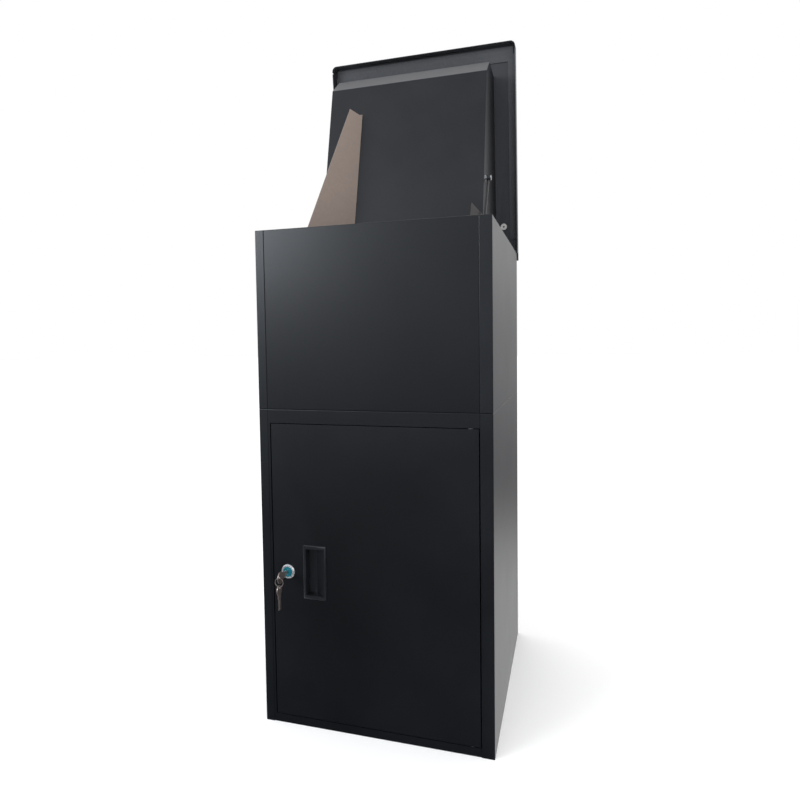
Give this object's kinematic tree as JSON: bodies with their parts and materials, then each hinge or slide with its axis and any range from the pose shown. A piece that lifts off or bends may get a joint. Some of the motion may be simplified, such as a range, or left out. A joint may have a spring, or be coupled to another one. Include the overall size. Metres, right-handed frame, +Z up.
{
  "type": "parcel drop box",
  "caption": "Free-standing parcel drop box with a rear-hinged lid that carries a drop hopper, over a locker with a keyed, inset door.",
  "frame": {"origin": "centre of the base, on the ground, in the middle of the four floor anchor holes", "axes": "+Z up; -Y is the front with the door; +X is the right-hand side seen from the front, where the door's pivots and the lid's stay are. Rest pose: door shut and unlocked, lid standing open."},
  "size_m": [0.4764, 0.5645, 1.5058],
  "materials": {
    "black_powder_coat": "satin, very fine texture",
    "galvanised_sheet": "matt galvanised",
    "zinc_plate": "bright zinc",
    "chrome_plate": "polished",
    "lock_core": "gloss",
    "black_plastic": "matt, moulded",
    "seal_rubber": "matt foam rubber",
    "buffer_plastic": "semi matt",
    "black_rod": "satin"
  },
  "bodies": {
    "cabinet": {"lower_left_side": "black_powder_coat", "lower_right_side": "black_powder_coat", "lower_back_panel": "black_powder_coat", "floor_pan": "black_powder_coat", "door_frame": "black_powder_coat", "door_pivot_pins": "zinc_plate", "upper_left_side": "black_powder_coat", "upper_right_side": "black_powder_coat", "upper_back_panel": "black_powder_coat", "upper_front_panel": "black_powder_coat", "module_bolts": "zinc_plate", "module_nuts": "zinc_plate", "lid_hinge_body_leaf": "zinc_plate", "lid_hinge_pin": "zinc_plate", "body_hinge_rivets": "zinc_plate", "stay_guide": "galvanised_sheet"},
    "door": {"door_panel": "black_powder_coat", "door_stiffener": "black_powder_coat", "pivot_washers": "black_plastic", "pull_cup": "black_plastic", "lock_body": "chrome_plate", "lock_nut": "zinc_plate"},
    "plug": {"lock_plug": "lock_core", "lock_cam": "zinc_plate", "cam_screw": "zinc_plate", "key": "chrome_plate"},
    "ring": {"key_ring": "chrome_plate"},
    "spare": {"spare_key": "chrome_plate"},
    "lid": {"lid_panel": "black_powder_coat", "lid_seal": "seal_rubber", "lid_buffers": "buffer_plastic", "lid_hinge_lid_leaf": "zinc_plate", "lid_hinge_rivets": "zinc_plate", "hopper_back": "black_powder_coat", "hopper_brackets": "black_powder_coat", "hopper_floor": "galvanised_sheet", "hopper_left_wing": "galvanised_sheet", "hopper_right_cheek": "black_powder_coat", "stay_pin": "zinc_plate"},
    "stay": {"stay_rod": "black_rod"}
  },
  "joints": [
    {"name": "lid_hinge", "type": "hinge", "parent": "cabinet", "child": "lid", "pos_m": [0, 0.255, 0.997], "axis": [1, 0, 0], "range_deg": [0, 84]},
    {"name": "stay_pivot", "type": "hinge", "parent": "lid", "child": "stay", "pos_m": [0.191, 0.0396, 1.1407], "axis": [1, 0, 0], "range_deg": [-84, 0]},
    {"name": "door_hinge", "type": "hinge", "parent": "cabinet", "child": "door", "pos_m": [0.193, -0.244, 0.3], "axis": [0, 0, 1], "range_deg": [0, 110]},
    {"name": "lock_turn", "type": "hinge", "parent": "door", "child": "plug", "pos_m": [-0.178, -0.25, 0.317], "axis": [0, 1, 0], "range_deg": [0, 90]},
    {"name": "ring_swing", "type": "hinge", "parent": "plug", "child": "ring", "pos_m": [-0.178, -0.29, 0.31775], "axis": [1, 0, 0], "range_deg": [-35, 12]},
    {"name": "spare_swing", "type": "hinge", "parent": "ring", "child": "spare", "pos_m": [-0.178, -0.29, 0.30095], "axis": [1, 0, 0], "range_deg": [-35, 12]}
  ],
  "couplings": [
    {"joint": "stay_pivot", "follows": "lid_hinge", "ratio": -1}
  ]
}
